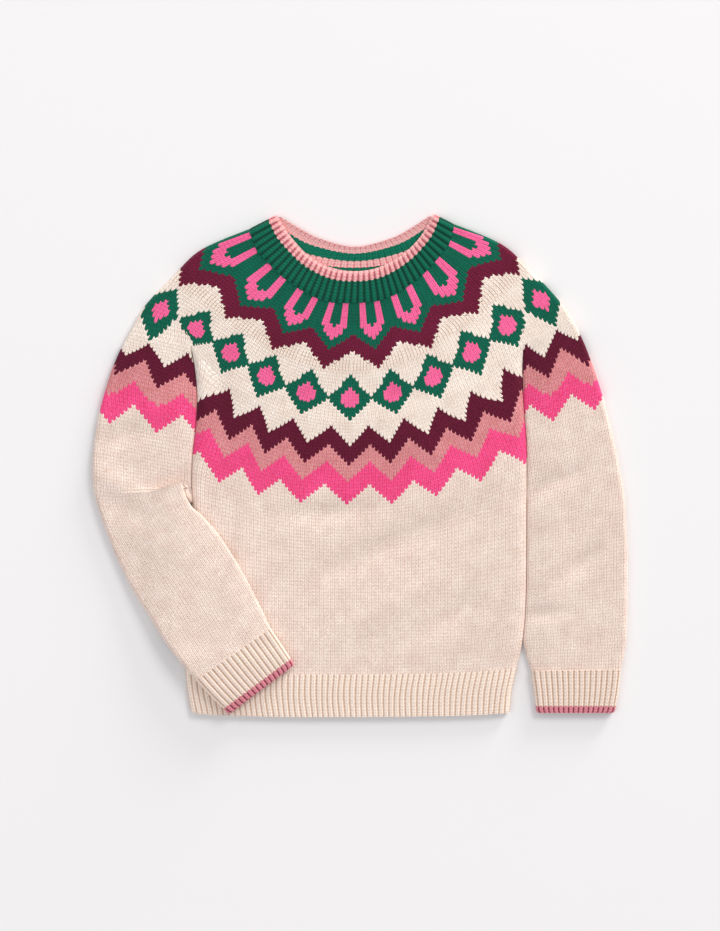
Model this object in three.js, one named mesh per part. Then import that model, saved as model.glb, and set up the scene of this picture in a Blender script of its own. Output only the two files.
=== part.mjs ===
// A child's fair isle jumper laid flat, front up, with one sleeve bent over the hem.
// Millimetres: +X to the right of the view from above, +Y towards the neck, +Z up from the table.
// The yoke is knitted round with no seam of its own, so its bands belong to the front, the back
// and the sleeves, which meet along the yoke edge and part at the fold below it.
import * as THREE from 'three';

// Driving dimensions
const WALL = 2.6; // knitted fabric
const LIE = 8.0; // top of the front above the table
const SEAM_GAP = 0.3; // between pieces that are sewn or knitted on
const FOLD_GAP = 0.8; // between the body's edge and the sleeve beside it
const EDGE_ROLL = 10; // width over which the front rolls down at its sides
const EDGE_FOOT = 3.0; // height of the front's rolled edge above the table
const ROLL_ROUNDS = 0.6; // how soon below the yoke the sides are rolled, in rounds
const TUBE_ROLL = 9; // width of the rounding along a sleeve's folds
const SLEEVE_DIP = 1.9; // how much lower the sleeve lies beside the body
const DIP_WIDTH = 15;
const DRAPE_REACH = 44; // how far outside the body the raised forearm comes down
const DRAPE_EDGE = 5; // how far outside the body it is already at full height
const DRAPE_GAP = 0.4; // between the body and the forearm on it
const HEM_RELIEF = 1.2; // how much higher the forearm lies over the ribbed hem
const RIB_PITCH = 5.5; // hem and cuff ribs
const RIB_RISE = 0.9;
const HEM_CLIMB = { from: -168, over: 22 }; // stretch in y where it climbs onto the hem
const HEM_DROOP = 1.6; // the open edges of hem and cuffs lie lower
const FRONT_DROOP = { from: -205, over: 36 }; // stretch in y where the front hem sinks
const BENT_DROOP = { from: -214, over: 30 }; // the same under the bent cuff
const HEM_STEP = 21; // depth of the hem from its seam to its middle
const LAST_EDGE_Y = -190; // below this the forearm is held as at this height
const BAND_WALL = 3.9; // doubled neckband
const BAND_FRONT_FOOT = 4.9;
const BAND_RIB_RISE = 0.7;
const BAND_FRONT_RIBS = 38;
const BAND_BACK_RIBS = 30;
const ROW_STEP = 0.5; // rows of the panels and the sleeves, in rounds
const FRONT_SPREAD = 13; // steps across the front between its rolled sides
const BACK_SPREAD = 12;
const SLEEVE_SPREAD = 4;
const BENT_UNDER_SPREAD = 8; // under the bent sleeve, where it passes over the body's edge
const STRAIGHT_UNDER_SPREAD = 2;
const CUFF_UNDER_SPREAD = 6;

// Rounds of the body, neck to hem: points across the front from the left edge to the right edge
const BODY_ROUNDS = [
  { round: 'neck base', across: [[-98.9, 205], [-71, 178.1], [-37.4, 158.9], [-5.8, 156],
    [26.9, 160.8], [60, 182.9], [85.4, 211.7]] },
  { round: 'loop tips', across: [[-136.3, 182.9], [-95, 149.8], [-52.8, 127.2], [-6.7, 118.1],
    [37, 128.2], [79.7, 152.6], [118.1, 192.5]] },
  { round: 'first zigzag', across: [[-158.4, 165.6], [-113.8, 133], [-64.3, 103.7], [-8.6, 92.6],
    [48, 104.6], [98.4, 136.3], [141.1, 174.2]] },
  { round: 'diamonds', across: [[-170.9, 138.7], [-123.8, 108], [-71.5, 76.3], [-9.6, 63.8],
    [50.9, 75.4], [106.6, 108], [154.6, 144.5]] },
  { round: 'fold start', across: [[-162.2, 115.7], [-122.9, 78.2], [-71, 52.3], [-9.6, 41.8],
    [49, 52.3], [103.7, 76.3], [156.5, 115.7]] },
  { round: 'second zigzag', across: [[-156.5, 61.9], [-120.5, 47], [-70.1, 27.4], [-9.6, 19.7],
    [47, 26.9], [100.8, 43.7], [156.5, 74.4]] },
  { round: 'last zigzag', across: [[-161.3, 4.3], [-133.4, -5.3], [-77.8, -22.6], [-12.5, -27.4],
    [51.8, -24], [115.2, -4.3], [160.3, 15.8]] },
  { round: 'armpit', across: [[-161.8, -42.7], [-138.2, -48.5], [-76.8, -61.9], [-12.5, -66.7],
    [50.9, -62.9], [113.3, -49.4], [160.3, -37.9]] },
  { round: 'waist', across: [[-165.1, -129.1], [-141.1, -128.2], [-76.8, -130.1], [-12.5, -131],
    [50.9, -130.1], [113.3, -128.2], [159.8, -121.4]] },
  { round: 'above hem', across: [[-168.5, -167.5], [-142.1, -170.4], [-76.8, -173.3], [-12.5, -174.2],
    [50.9, -173.3], [111.4, -171.4], [156.5, -167.5]] },
  { round: 'hem seam', across: [[-168, -194.4], [-142.1, -197.3], [-76.8, -200.2], [-12.5, -200.6],
    [50.9, -200.2], [109.4, -198.2], [150.7, -194.4]] },
  { round: 'hem middle', across: [[-166.1, -215.5], [-140.2, -218.4], [-75.8, -221.3], [-11.5, -221.8],
    [49.9, -221.3], [106.6, -219.8], [145.9, -217.4]] },
  { round: 'hem edge', across: [[-162.2, -237.6], [-137.3, -239.5], [-74.9, -241.4], [-11.5, -241.4],
    [49, -241], [103.7, -240], [142.1, -237.6]] },
];
const FOLD_START = 4; // index of the round where the side fold begins
const HEM_SEAM = 10;
const HEM_EDGE = 12;
const HEM_START = HEM_SEAM + SEAM_GAP / HEM_STEP;

// Sections of the sleeves, neck to cuff: outer is on the free edge, inner on the body's side.
// Above the fold the inner point is the body's own, and down to the armpit only its y is free.
const BENT_SLEEVE = [
  { at: 'neck base', outer: [-107.5, 227] },
  { at: 'loop tips', outer: [-153.6, 206.9] },
  { at: 'first zigzag', outer: [-180.5, 181] },
  { at: 'diamonds', outer: [-205.4, 155] },
  { at: 'fold start', outer: [-223.7, 124.3] },
  { at: 'second zigzag', outer: [-235.2, 100.3], innerY: 95.5 },
  { at: 'yarn change', outer: [-242.9, 78.2], innerY: 72.5 },
  { at: 'last zigzag', outer: [-251.5, 46.6], innerY: 38.9 },
  { at: 'upper arm', outer: [-256.3, 16.8], innerY: 10.1 },
  { at: 'above armpit', outer: [-257.3, -4.3], innerY: -9.1 },
  { at: 'armpit', outer: [-256.3, -21.6], innerY: -20.6 },
  { at: 'crease', outer: [-252.5, -37.9], inner: [-169, -23.5] },
  { at: 'elbow', outer: [-243.8, -63.8], inner: [-161.3, -38.9] },
  { at: 'below elbow', outer: [-234.2, -87.8], inner: [-151.7, -47.5] },
  { at: 'upper forearm', outer: [-219.8, -117.6], inner: [-137.3, -63.8] },
  { at: 'mid forearm', outer: [-201.6, -146.4], inner: [-121, -87.8] },
  { at: 'lower forearm', outer: [-184.3, -173.3], inner: [-105.6, -114.7] },
  { at: 'cuff seam', outer: [-157.4, -205.9], inner: [-85.4, -156] },
];
const BENT_CUFF = [
  { at: 'cuff seam', outer: [-157.4, -205.9], inner: [-85.4, -156] },
  { at: 'cuff middle', outer: [-142, -222.6], inner: [-73.6, -173.6] },
  { at: 'cuff edge', outer: [-125.8, -238.6], inner: [-62.4, -190.6] },
];
const RAISED_FROM = 10.5; // between armpit and crease the bent sleeve folds up onto the body

const STRAIGHT_SLEEVE = [
  { at: 'neck base', outer: [91.2, 231.8] },
  { at: 'loop tips', outer: [134.4, 213.6] },
  { at: 'first zigzag', outer: [158.4, 193.4] },
  { at: 'diamonds', outer: [185.3, 165.6] },
  { at: 'fold start', outer: [202.6, 143.5] },
  { at: 'second zigzag', outer: [215, 118.6], innerY: 89.8 },
  { at: 'yarn change', outer: [224.6, 93.6], innerY: 70.6 },
  { at: 'last zigzag', outer: [234.2, 62.9], innerY: 43.7 },
  { at: 'upper arm', outer: [243.8, 24.5], innerY: 14.9 },
  { at: 'above armpit', outer: [250.6, -9.1], innerY: -13.9 },
  { at: 'armpit', outer: [254.4, -33.1], innerY: -33.1 },
  { at: 'elbow', outer: [257.1, -85.9], innerY: -85.9 },
  { at: 'upper forearm', outer: [257, -129.1], innerY: -129.1 },
  { at: 'mid forearm', outer: [256.3, -159.8], innerY: -159.8 },
  { at: 'above cuff', outer: [254.4, -179], inner: [159.4, -180] },
  { at: 'cuff seam', outer: [251, -196.3], inner: [164.2, -197.3] },
];
const STRAIGHT_CUFF = [
  { at: 'cuff seam', outer: [251, -196.3], inner: [164.2, -197.3] },
  { at: 'cuff middle', outer: [248.6, -217.4], inner: [167, -217.4] },
  { at: 'cuff edge', outer: [244.8, -237.6], inner: [169.4, -237.6] },
];

// Neckband edges in plan, from the left tip to the right tip
const BAND_FRONT_TOP = [[-79.7, 241.3], [-68.2, 222.2], [-49.9, 202.1], [-28.8, 190.6], [-6.7, 186.7],
  [15.4, 189.6], [38.4, 201.1], [57.6, 219.4], [70.1, 242.3]];
const BAND_BACK_TOP = [[-79.7, 241.3], [-57.6, 228], [-38.4, 218.4], [-4.8, 210.7], [28.8, 218.4],
  [48, 228], [70.1, 242.3]];
const BACK_NECK = [[-98.9, 205], [-72, 189.6], [-38.4, 182.9], [-4.8, 181], [28.8, 183.8],
  [61.4, 194.4], [85.4, 211.7]];

// Soft folds of the front and the sleeves: place, direction in degrees, length, width and height
const FOLDS = [
  { x: -128, y: -30, turn: 62, length: 90, width: 11, height: 0.5 },
  { x: -98, y: -84, turn: 40, length: 70, width: 14, height: -0.6 },
  { x: 132, y: -20, turn: 104, length: 110, width: 12, height: 0.5 },
  { x: 96, y: -120, turn: 78, length: 120, width: 16, height: -0.6 },
  { x: 20, y: -150, turn: 8, length: 130, width: 12, height: 0.4 },
  { x: -205, y: 40, turn: 80, length: 80, width: 13, height: 0.6 },
  { x: 208, y: -60, turn: 92, length: 110, width: 14, height: -0.6 },
  { x: 190, y: 60, turn: 60, length: 70, width: 12, height: 0.5 },
];

const smooth = (t) => THREE.MathUtils.smoothstep(t, 0, 1);
const sunk = ({ from, over }, y) => smooth((from - y) / over);
const lerp = THREE.MathUtils.lerp;
const spline = (points) => new THREE.SplineCurve(points.map(([x, y]) => new THREE.Vector2(x, y)));
const point = (plan, z) => new THREE.Vector3(plan.x, plan.y, z);

function foldHeight(x, y) {
  let height = 0;
  for (const fold of FOLDS) {
    const turn = THREE.MathUtils.degToRad(fold.turn);
    const along = (x - fold.x) * Math.cos(turn) + (y - fold.y) * Math.sin(turn);
    const aside = (y - fold.y) * Math.cos(turn) - (x - fold.x) * Math.sin(turn);
    const fade = Math.exp(-((2 * along / fold.length) ** 2) - (aside / fold.width) ** 2);
    height += fold.height * fade;
  }
  return height;
}

// A wall between two grids of points, closed all round. Cells that skip() names are left open.
function wallGeometry(outer, inner, wraps = false, skip = () => false) {
  const rows = outer.length;
  const columns = outer[0].length;
  const lastColumn = wraps ? columns : columns - 1;
  const present = (i, j) => {
    if (i < 0 || i >= rows - 1) return false;
    if (!wraps && (j < 0 || j >= columns - 1)) return false;
    return !skip(i, (j + columns) % columns);
  };
  const triangles = [];
  const face = (a, b, c, d) => triangles.push([a, b, c], [a, c, d]);
  for (let i = 0; i < rows - 1; i += 1) {
    for (let j = 0; j < lastColumn; j += 1) {
      if (!present(i, j)) continue;
      const k = (j + 1) % columns;
      const top = [outer[i][j], outer[i][k], outer[i + 1][k], outer[i + 1][j]];
      const under = [inner[i][j], inner[i][k], inner[i + 1][k], inner[i + 1][j]];
      face(...top);
      face(under[3], under[2], under[1], under[0]);
      const beside = [present(i - 1, j), present(i, j + 1), present(i + 1, j), present(i, j - 1)];
      for (let side = 0; side < 4; side += 1) {
        const next = (side + 1) % 4;
        if (!beside[side]) face(top[next], top[side], under[side], under[next]);
      }
    }
  }
  const volume = triangles.reduce((sum, [a, b, c]) => sum + a.dot(b.clone().cross(c)), 0);
  const positions = [];
  for (const [a, b, c] of triangles) {
    const corners = volume > 0 ? [a, b, c] : [a, c, b];
    for (const corner of corners) positions.push(corner.x, corner.y, corner.z);
  }
  const geometry = new THREE.BufferGeometry();
  geometry.setAttribute('position', new THREE.Float32BufferAttribute(positions, 3));
  geometry.computeVertexNormals();
  return geometry;
}

// The body's rounds as curves across the front, at any place between two rounds
const bodyColumns = BODY_ROUNDS[0].across.map((_, column) => (
  spline(BODY_ROUNDS.map(({ across }) => across[column]))
));

function bodyRound(round) {
  const t = round / (BODY_ROUNDS.length - 1);
  return new THREE.SplineCurve(bodyColumns.map((column) => column.getPoint(t)));
}

function bodyEdge(side, round) {
  return bodyColumns[side < 0 ? 0 : bodyColumns.length - 1].getPoint(round / (BODY_ROUNDS.length - 1));
}

const hemRounds = [HEM_START, HEM_SEAM + 1, HEM_EDGE];
const bodyRows = [];
for (let round = 0; round <= HEM_SEAM; round += ROW_STEP) bodyRows.push(round);

// Place on the body's edge at a height y, along the straight steps between the body's rows
function edgeAt(side, y) {
  for (let row = 1; row < bodyRows.length; row += 1) {
    const above = bodyEdge(side, bodyRows[row - 1]);
    const below = bodyEdge(side, bodyRows[row]);
    if (bodyRows[row] > FOLD_START && y <= above.y && y >= below.y) {
      return lerp(above.x, below.x, (above.y - y) / (above.y - below.y));
    }
  }
  return bodyEdge(side, HEM_SEAM).x;
}

const rollAt = (round) => smooth((round - FOLD_START) / ROLL_ROUNDS);

// Height of a panel's top at a distance from its rolled edge
function rolledTop(top, distance, roll) {
  const share = Math.min(distance / EDGE_ROLL, 1);
  const rolled = EDGE_FOOT + (top - EDGE_FOOT) * Math.sqrt(1 - (1 - share) ** 2);
  return lerp(top, rolled, roll);
}

// Distances from a panel's two sides, close together where it rolls
function stations(width, spread) {
  const near = [0, 0.7, 2.2, 4.8, EDGE_ROLL];
  const middle = [];
  for (let k = 1; k < spread; k += 1) middle.push(lerp(EDGE_ROLL, width - EDGE_ROLL, k / spread));
  return [...near, ...middle, ...near.map((d) => width - d).reverse()];
}

function frontTop(x, y) {
  return LIE + foldHeight(x, y) - HEM_DROOP * sunk(FRONT_DROOP, y);
}

// One row of a front panel: outer points, and inner points a wall's thickness inside
function frontRow(round, places, gap, rise = () => 0) {
  const curve = bodyRound(round);
  const width = curve.getLength();
  const roll = rollAt(round);
  const outer = [];
  const inner = [];
  places(width).forEach((distance, column) => {
    const depth = Math.min(distance, width - distance);
    const shifted = lerp(gap, width - gap, distance / width);
    const plan = curve.getPointAt(shifted / width);
    const top = frontTop(plan.x, plan.y);
    outer.push(point(plan, rolledTop(top, depth, roll) + rise(column)));
    const tucked = depth < EDGE_ROLL ? WALL + depth * (1 - WALL / EDGE_ROLL) : depth;
    const inset = lerp(depth, tucked, roll) - depth;
    const towards = distance < width / 2 ? inset : -inset;
    const within = curve.getPointAt((shifted + towards) / width);
    const under = rolledTop(top - WALL, depth, roll);
    inner.push(point(within, lerp(top - WALL, Math.max(under, EDGE_FOOT), roll)));
  });
  return { outer, inner };
}

const gapAt = (round) => (round <= FOLD_START ? SEAM_GAP : FOLD_GAP) / 2;

function frontPanel() {
  const places = (width) => stations(width, FRONT_SPREAD);
  const rows = bodyRows.map((round) => frontRow(round, places, gapAt(round)));
  return wallGeometry(rows.map((row) => row.outer), rows.map((row) => row.inner));
}

function frontHem() {
  const ribColumns = (width) => {
    const count = 2 * Math.round(width / RIB_PITCH);
    return Array.from({ length: count + 1 }, (_, k) => width * k / count);
  };
  const hemWidth = bodyRound(HEM_SEAM).getLength();
  const places = ribColumns(hemWidth).map((distance) => distance / hemWidth);
  const raised = (column) => (column % 2 === 1 ? RIB_RISE : 0);
  const rows = hemRounds.map((round) => (
    frontRow(round, (width) => places.map((share) => share * width), gapAt(round), raised)
  ));
  return wallGeometry(rows.map((row) => row.outer), rows.map((row) => row.inner));
}

// The back lies flat on the table, so it is a flat wall with the body's outline
function backRow(round, base) {
  const left = bodyEdge(-1, round);
  const right = bodyEdge(1, round);
  const width = left.distanceTo(right);
  const neck = spline(BACK_NECK);
  const curve = Math.max(0, 1 - round / FOLD_START);
  const row = [];
  const gap = gapAt(round);
  for (let k = 0; k <= BACK_SPREAD; k += 1) {
    const t = lerp(gap / width, 1 - gap / width, k / BACK_SPREAD);
    const chord = bodyEdge(-1, 0).lerp(bodyEdge(1, 0), t);
    const sag = neck.getPointAt(t).sub(chord).multiplyScalar(curve);
    row.push(point(left.clone().lerp(right, t).add(sag), base));
  }
  return row;
}

function flatPanel(rounds) {
  return wallGeometry(
    rounds.map((round) => backRow(round, 0)),
    rounds.map((round) => backRow(round, WALL)),
  );
}

// How high the bent forearm is held by the body, the hem and the cloth's own stiffness
function drape(x, y) {
  const inside = x - edgeAt(-1, Math.max(y, LAST_EDGE_Y));
  const climb = HEM_RELIEF * sunk(HEM_CLIMB, y) - HEM_DROOP * sunk(BENT_DROOP, y);
  const held = smooth((inside + DRAPE_REACH) / (DRAPE_REACH - DRAPE_EDGE));
  return (LIE + DRAPE_GAP + climb) * held;
}

// Ring columns round a sleeve: which edge each is measured from, how far in, and how high
function ringColumns(spread, underSpread) {
  const inner = [{ from: 0, inset: 0.9, level: 0.82 }, { from: 0, inset: 3.4, level: 1 }];
  const across = [{ from: 0, inset: TUBE_ROLL, level: 1 }];
  for (let k = 1; k < spread; k += 1) across.push({ share: k / spread, level: 1 });
  across.push({ from: 1, inset: TUBE_ROLL, level: 1 });
  const outer = [
    { from: 1, inset: 3.4, level: 1 }, { from: 1, inset: 0.9, level: 0.82 },
    { from: 1, inset: 0, level: 0.5 },
    { from: 1, inset: 0.9, level: 0.18 }, { from: 1, inset: 3.4, level: 0 },
  ];
  const under = [];
  for (let k = underSpread - 1; k > 0; k -= 1) under.push({ share: k / underSpread, level: 0 });
  const close = [
    { from: 0, inset: 3.4, level: 0 }, { from: 0, inset: 0.9, level: 0.18 },
    { from: 0, inset: 0, level: 0.5 },
  ];
  return [...inner, ...across, ...outer, ...under, ...close];
}

// One ring of a sleeve. closed is 0 where the sleeve is still part of the yoke, 1 where it is a tube.
function ring(section, columns, rise = () => 0) {
  const { outer: far, inner: near, closed, lift, dip, thick } = section;
  const width = far.distanceTo(near);
  const rings = { outer: [], inner: [] };
  columns.forEach((column, index) => {
    const openSide = column.from === 0 && closed === 0;
    const onEdge = openSide && column.inset < 1;
    const level = onEdge && column.level !== 0.5 ? Math.round(column.level) : column.level;
    const rawInset = onEdge ? 0 : column.inset;
    const placeAt = (inset) => {
      if (column.share !== undefined) {
        return lerp(TUBE_ROLL / width, 1 - TUBE_ROLL / width, column.share);
      }
      return column.from === 0 ? inset / width : 1 - inset / width;
    };
    const tucked = openSide ? rawInset : WALL + rawInset * (1 - WALL / TUBE_ROLL);
    const heightAt = (place, skin, layer) => {
      const plan = near.clone().lerp(far, place);
      const base = lift(plan.x, plan.y);
      const lower = dip * Math.exp(-((place * width / DIP_WIDTH) ** 2));
      const tall = thick + foldHeight(plan.x, plan.y) - lower;
      return point(plan, base + skin + (tall - 2 * skin) * layer);
    };
    const top = heightAt(placeAt(rawInset), 0, level);
    top.z += rise(index, column);
    rings.outer.push(top);
    rings.inner.push(heightAt(placeAt(tucked), WALL, level));
  });
  return rings;
}

// Sections between the table's rows, smoothed along the sleeve
function sleeveSections(table, side, lift, step) {
  const outerLine = spline(table.map(({ outer }) => outer));
  const freeStart = table.findIndex(({ inner }) => inner !== undefined);
  const inners = table.map((row, index) => {
    if (index <= FOLD_START) return bodyEdge(side, index).toArray();
    if (row.inner) return row.inner;
    return [edgeAt(side, row.innerY), row.innerY];
  });
  const innerLine = spline(inners);
  const last = table.length - 1;
  const sections = [];
  for (let place = 0; place <= last; place += step) {
    const outer = outerLine.getPoint(place / last);
    const inner = place <= FOLD_START ? bodyEdge(side, place) : innerLine.getPoint(place / last);
    if (place > FOLD_START && place < freeStart) inner.x = edgeAt(side, inner.y);
    const gap = place <= FOLD_START ? SEAM_GAP / 2 : FOLD_GAP / 2;
    inner.add(outer.clone().sub(inner).setLength(gap));
    sections.push({
      outer,
      inner,
      closed: place > FOLD_START ? 1 : 0,
      lift,
      dip: SLEEVE_DIP * smooth(place - FOLD_START),
      thick: LIE,
    });
  }
  return sections;
}

const onTable = () => 0;

function sleeve(table, side, lift) {
  const columns = ringColumns(SLEEVE_SPREAD, side < 0 ? BENT_UNDER_SPREAD : STRAIGHT_UNDER_SPREAD);
  const sections = sleeveSections(table, side, lift, ROW_STEP);
  const raised = sections.map((section, index) => (
    index * ROW_STEP < RAISED_FROM ? { ...section, lift: onTable } : section
  ));
  const rings = raised.map((section) => ring(section, columns));
  const openRows = FOLD_START / ROW_STEP;
  const closing = [columns.length - 2, columns.length - 1];
  const skip = (row, column) => row < openRows && closing.includes(column);
  return wallGeometry(rings.map(({ outer }) => outer), rings.map(({ inner }) => inner), true, skip);
}

function cuff(table, lift) {
  const outerLine = spline(table.map(({ outer }) => outer));
  const innerLine = spline(table.map(({ inner }) => inner));
  const width = outerLine.getPoint(0).distanceTo(innerLine.getPoint(0));
  const ribSteps = 2 * Math.round((width - 2 * TUBE_ROLL) / RIB_PITCH);
  const columns = ringColumns(ribSteps, CUFF_UNDER_SPREAD);
  const firstGap = SEAM_GAP / outerLine.getLength();
  const raised = (index, { share, level }) => {
    const onTop = share !== undefined && level === 1;
    return onTop && index % 2 ? RIB_RISE : 0;
  };
  const rings = [firstGap, 0.5, 1].map((t) => ring({
    outer: outerLine.getPoint(t),
    inner: innerLine.getPoint(t),
    closed: 1,
    lift,
    dip: 0,
    thick: LIE - HEM_DROOP * t,
  }, columns, raised));
  return wallGeometry(rings.map(({ outer }) => outer), rings.map(({ inner }) => inner), true);
}

// The neckband is knitted double: a thick ring, folded over at the two shoulder tips
function neckLine(points) {
  const line = new THREE.CurvePath();
  for (let k = 1; k < points.length; k += 1) line.add(new THREE.LineCurve(points[k - 1], points[k]));
  return line;
}

function neckband() {
  const frontSleeveEdge = (table, side) => {
    const outer = new THREE.Vector2(...table[0].outer);
    return [outer, bodyEdge(side, 0)];
  };
  const [leftTip, leftCorner] = frontSleeveEdge(BENT_SLEEVE, -1);
  const [rightTip, rightCorner] = frontSleeveEdge(STRAIGHT_SLEEVE, 1);
  const frontCurve = bodyRound(0);
  const frontWidth = frontCurve.getLength();
  const frontStations = stations(frontWidth, FRONT_SPREAD);
  const frontPoints = frontStations.map((d) => frontCurve.getPointAt(d / frontWidth));
  const backPoints = backRow(0, 0).map(({ x, y }) => new THREE.Vector2(x, y));
  const bases = {
    front: neckLine([leftTip, leftCorner, ...frontPoints.slice(1, -1), rightCorner, rightTip]),
    back: neckLine([leftTip, leftCorner, ...backPoints.slice(1, -1), rightCorner, rightTip]),
  };
  const tops = { front: spline(BAND_FRONT_TOP), back: spline(BAND_BACK_TOP) };
  const radius = (BAND_FRONT_FOOT + BAND_WALL) / 2;
  const across = [
    { share: 0, slim: 1 }, { share: 0.4, slim: 1 }, { share: 0.8, slim: 1 },
    { share: 0.95, slim: 0.8 }, { share: 1, slim: 0.4 },
  ];
  const outer = across.map(() => []);
  const inner = across.map(() => []);
  const pull = (plan, top) => plan.clone().add(top.clone().sub(plan).setLength(SEAM_GAP));
  const addFlat = (layer, t, rise) => {
    const inset = radius / bases[layer].getLength();
    const base = bases[layer].getPointAt(lerp(inset, 1 - inset, t));
    const topInset = radius / tops[layer].getLength();
    const top = tops[layer].getPointAt(lerp(topInset, 1 - topInset, t));
    const start = pull(base, top);
    across.forEach(({ share, slim }, row) => {
      const plan = start.clone().lerp(top, share);
      const middle = layer === 'front' ? BAND_FRONT_FOOT + BAND_WALL / 2 : BAND_WALL / 2;
      const half = BAND_WALL / 2 * slim;
      const up = layer === 'front' ? 1 : -1;
      const lift = rise * slim;
      outer[row].push(point(plan, middle + up * half + (up > 0 ? lift : 0)));
      inner[row].push(point(plan, middle - up * half + (up < 0 ? lift : 0)));
    });
  };
  const addFold = (t) => {
    const base = bases.front.getPointAt(t);
    const top = tops.front.getPointAt(t);
    const start = pull(base, top);
    const line = top.clone().sub(start);
    const outward = new THREE.Vector2(-line.y, line.x).normalize().multiplyScalar(t === 0 ? 1 : -1);
    if (outward.y < 0) outward.negate();
    const turns = t === 1 ? [45, 90, 135] : [135, 90, 45];
    for (const turn of turns) {
      const angle = THREE.MathUtils.degToRad(turn);
      across.forEach(({ share, slim }, row) => {
        const axis = start.clone().lerp(top, share).addScaledVector(outward, -radius);
        const thin = BAND_WALL / 2 * (1 - slim);
        for (const [grid, reach] of [[outer, radius - thin], [inner, radius - BAND_WALL + thin]]) {
          const plan = axis.clone().addScaledVector(outward, reach * Math.sin(angle));
          grid[row].push(point(plan, radius + reach * Math.cos(angle)));
        }
      });
    }
  };
  const sweep = (layer, ribs, forward) => {
    for (let k = 0; k <= 2 * ribs; k += 1) {
      const t = k / (2 * ribs);
      addFlat(layer, forward ? t : 1 - t, k % 2 ? BAND_RIB_RISE : 0);
    }
  };
  sweep('front', BAND_FRONT_RIBS, true);
  addFold(1);
  sweep('back', BAND_BACK_RIBS, false);
  addFold(0);
  return wallGeometry(outer, inner, true);
}

const CREAM = new THREE.Color(0xe9d9cc);
const GREEN = new THREE.Color(0x04614d);
const cloth = (color) => new THREE.MeshStandardMaterial({ color, roughness: 0.92, metalness: 0 });

const backRounds = [0, 0.5, 1, 1.5, 2, 2.5, 3, 3.5, 4, 4.5, 5, 5.5, 6, 7, 8, 9, HEM_SEAM];

const PIECES = [
  ['front', frontPanel(), CREAM],
  ['back', flatPanel(backRounds), CREAM],
  ['right_sleeve', sleeve(BENT_SLEEVE, -1, drape), CREAM],
  ['left_sleeve', sleeve(STRAIGHT_SLEEVE, 1, onTable), CREAM],
  ['front_hem', frontHem(), CREAM],
  ['back_hem', flatPanel(hemRounds), CREAM],
  ['right_cuff', cuff(BENT_CUFF, drape), CREAM],
  ['left_cuff', cuff(STRAIGHT_CUFF, onTable), CREAM],
  ['neckband', neckband(), GREEN],
];

const jumper = new THREE.Group();
for (const [name, geometry, color] of PIECES) {
  const mesh = new THREE.Mesh(geometry, cloth(color));
  mesh.name = name;
  jumper.add(mesh);
}

export default jumper;
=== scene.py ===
# %% [markdown]
# A child's fair isle jumper, laid flat with one sleeve bent over the hem.
# The construction was settled elsewhere and arrives as a frame of plain solids. This script dresses
# each of them in a thin knitted shell at the same place: fine grids for the cloth, waves for the
# ribs, and procedural yarn for the stitches and the yoke pattern. First the frame is loaded and the
# names of its solids are printed.

# %% Load the frame
import math
import bmesh
import bpy
import numpy as np
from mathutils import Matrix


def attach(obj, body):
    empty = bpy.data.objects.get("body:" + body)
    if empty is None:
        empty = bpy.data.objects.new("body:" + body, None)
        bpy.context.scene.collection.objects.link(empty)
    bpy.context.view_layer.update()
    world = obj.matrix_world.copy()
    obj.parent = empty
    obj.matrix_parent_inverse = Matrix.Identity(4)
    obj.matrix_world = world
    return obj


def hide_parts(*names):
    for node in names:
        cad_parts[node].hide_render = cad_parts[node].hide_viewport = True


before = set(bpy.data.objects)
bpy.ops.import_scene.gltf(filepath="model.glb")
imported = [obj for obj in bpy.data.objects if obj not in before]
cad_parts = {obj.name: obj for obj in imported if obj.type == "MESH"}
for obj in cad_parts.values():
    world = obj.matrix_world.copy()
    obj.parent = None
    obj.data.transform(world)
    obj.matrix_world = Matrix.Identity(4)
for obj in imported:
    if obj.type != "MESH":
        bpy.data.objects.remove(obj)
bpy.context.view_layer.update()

MM = 0.001
print("solids", sorted(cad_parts))

# %% [markdown]
# Two small helpers serve every cell. Colours are written as the eye knows them, in sRGB hex, and
# turned linear once. A node is added with its inputs in order, as numbers or as other nodes, and
# its settings by name.

# %% Helpers for colours and nodes


def linear(hex_code):
    values = [int(hex_code[i:i + 2], 16) / 255 for i in (1, 3, 5)]
    return [v / 12.92 if v <= 0.04045 else ((v + 0.055) / 1.055) ** 2.4 for v in values] + [1.0]


def add(tree, kind, *inputs, **settings):
    node = tree.nodes.new("ShaderNode" + kind)
    for name, value in settings.items():
        setattr(node, name, value)
    for index, value in enumerate(inputs):
        if value is None:
            continue
        if isinstance(value, bpy.types.Node):
            value = value.outputs[0]
        if isinstance(value, bpy.types.NodeSocket):
            tree.links.new(value, node.inputs[index])
        else:
            node.inputs[index].default_value = value
    return node


# %% [markdown]
# The picture looks straight down on a pale table. A long lens keeps the flat garment free of
# perspective. The light is a broad soft one from the upper right with an even sky, so that every
# edge gets a faint shadow on its lower left.

# %% Camera, table and light
VIEW_LONG = 893.8 * MM
CAMERA_HEIGHT = 3.2
SENSOR = 36.0
LIE = 8.0

camera = bpy.data.objects.new("camera", bpy.data.cameras.new("camera"))
camera.data.sensor_width = SENSOR
camera.data.lens = SENSOR * (CAMERA_HEIGHT - LIE * MM) / VIEW_LONG
camera.data.dof.use_dof = False
camera.location = (0, 0, CAMERA_HEIGHT)
bpy.context.scene.collection.objects.link(camera)
bpy.context.scene.camera = camera
bpy.context.scene.view_settings.view_transform = "Standard"


def soft_light(name, place, size, power, tint):
    lamp = bpy.data.lights.new(name, "AREA")
    lamp.shape = "DISK"
    lamp.size = size
    lamp.energy = power
    lamp.color = linear(tint)[:3]
    light = bpy.data.objects.new(name, lamp)
    light.location = place
    direction = -light.location
    light.rotation_euler = direction.to_track_quat("-Z", "Y").to_euler()
    bpy.context.scene.collection.objects.link(light)


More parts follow.
